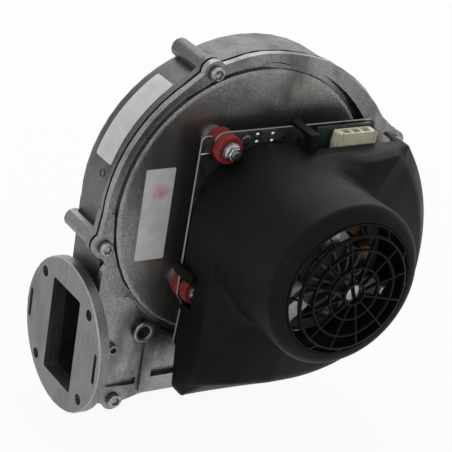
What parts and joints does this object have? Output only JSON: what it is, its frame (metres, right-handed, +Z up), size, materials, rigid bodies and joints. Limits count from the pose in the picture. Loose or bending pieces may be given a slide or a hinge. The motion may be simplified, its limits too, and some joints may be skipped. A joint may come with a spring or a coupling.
{
  "type": "premix gas blower",
  "caption": "Spiral cast blower for a condensing boiler: two-part casing with round outlet flange, rubber-mounted motor under a black hood with a round grille.",
  "frame": {"origin": "on the outlet flange's face, on the flat land below the outlet opening, in the middle of its width", "axes": "-X is the way the outlet blows, +Z is up and -Y is the way the motor hood faces, along the shaft"},
  "size_m": [0.203, 0.1777, 0.2179],
  "materials": {
    "cast_aluminium": "as-cast, slightly rough",
    "seal_rubber": "matt black",
    "zinc_steel": "zinc plated",
    "plate_steel": "galvanised sheet",
    "bright_steel": "ground",
    "bearing_steel": "ground",
    "lamination_steel": "stacked laminations",
    "rotor_steel": "dark laminations",
    "bracket_aluminium": "cast",
    "wheel_aluminium": "pressed sheet",
    "hub_brass": "turned",
    "winding_copper": "enamelled copper wire, brass stands in for copper",
    "mount_rubber": "dark red, satin",
    "black_plastic": "moulded, satin black",
    "fan_plastic": "moulded, dark",
    "board_laminate": "green solder mask",
    "ivory_plastic": "moulded, ivory",
    "nylon": "natural nylon",
    "can_sleeve": "shrink sleeve"
  },
  "bodies": {
    "blower": {"board_standoff_1": "nylon", "board_standoff_2": "nylon", "board_standoff_3": "nylon", "casing_screw_1": "zinc_steel", "casing_screw_2": "zinc_steel", "casing_screw_3": "zinc_steel", "casing_screw_4": "zinc_steel", "casing_screw_5": "zinc_steel", "casing_screw_6": "zinc_steel", "casing_seal": "seal_rubber", "control_board": "board_laminate", "cover_grille": "black_plastic", "front_bearing_outer": "bearing_steel", "front_bracket": "bracket_aluminium", "front_casing": "cast_aluminium", "grommet_1": "mount_rubber", "grommet_2": "mount_rubber", "grommet_3": "mount_rubber", "grommet_screw_1": "zinc_steel", "grommet_screw_2": "zinc_steel", "grommet_screw_3": "zinc_steel", "grommet_sleeve_1": "zinc_steel", "grommet_sleeve_2": "zinc_steel", "grommet_sleeve_3": "zinc_steel", "grommet_washer_1": "zinc_steel", "grommet_washer_2": "zinc_steel", "grommet_washer_3": "zinc_steel", "motor_bolt_1": "zinc_steel", "motor_bolt_2": "zinc_steel", "motor_bolt_3": "zinc_steel", "motor_cover": "black_plastic", "motor_flange": "bracket_aluminium", "motor_plate": "plate_steel", "plate_bearing_outer": "bearing_steel", "power_connector": "ivory_plastic", "rear_casing": "cast_aluminium", "shaft_seal": "seal_rubber", "stator_coil_1": "winding_copper", "stator_coil_2": "winding_copper", "stator_coil_3": "winding_copper", "stator_coil_4": "winding_copper", "stator_coil_5": "winding_copper", "stator_coil_6": "winding_copper", "stator_stack": "lamination_steel", "storage_capacitor": "can_sleeve"},
    "rotor": {"impeller": "wheel_aluminium", "impeller_shroud": "wheel_aluminium", "impeller_hub": "hub_brass", "impeller_nut": "zinc_steel", "motor_shaft": "bright_steel", "rotor_core": "rotor_steel", "cooling_fan": "fan_plastic", "plate_bearing_inner": "bearing_steel", "front_bearing_inner": "bearing_steel"}
  },
  "joints": [
    {"name": "rotor_spin", "type": "hinge", "parent": "blower", "child": "rotor", "pos_m": [0.095, -0.01545, 0.11937], "axis": [0, 1, 0], "continuous": true}
  ]
}
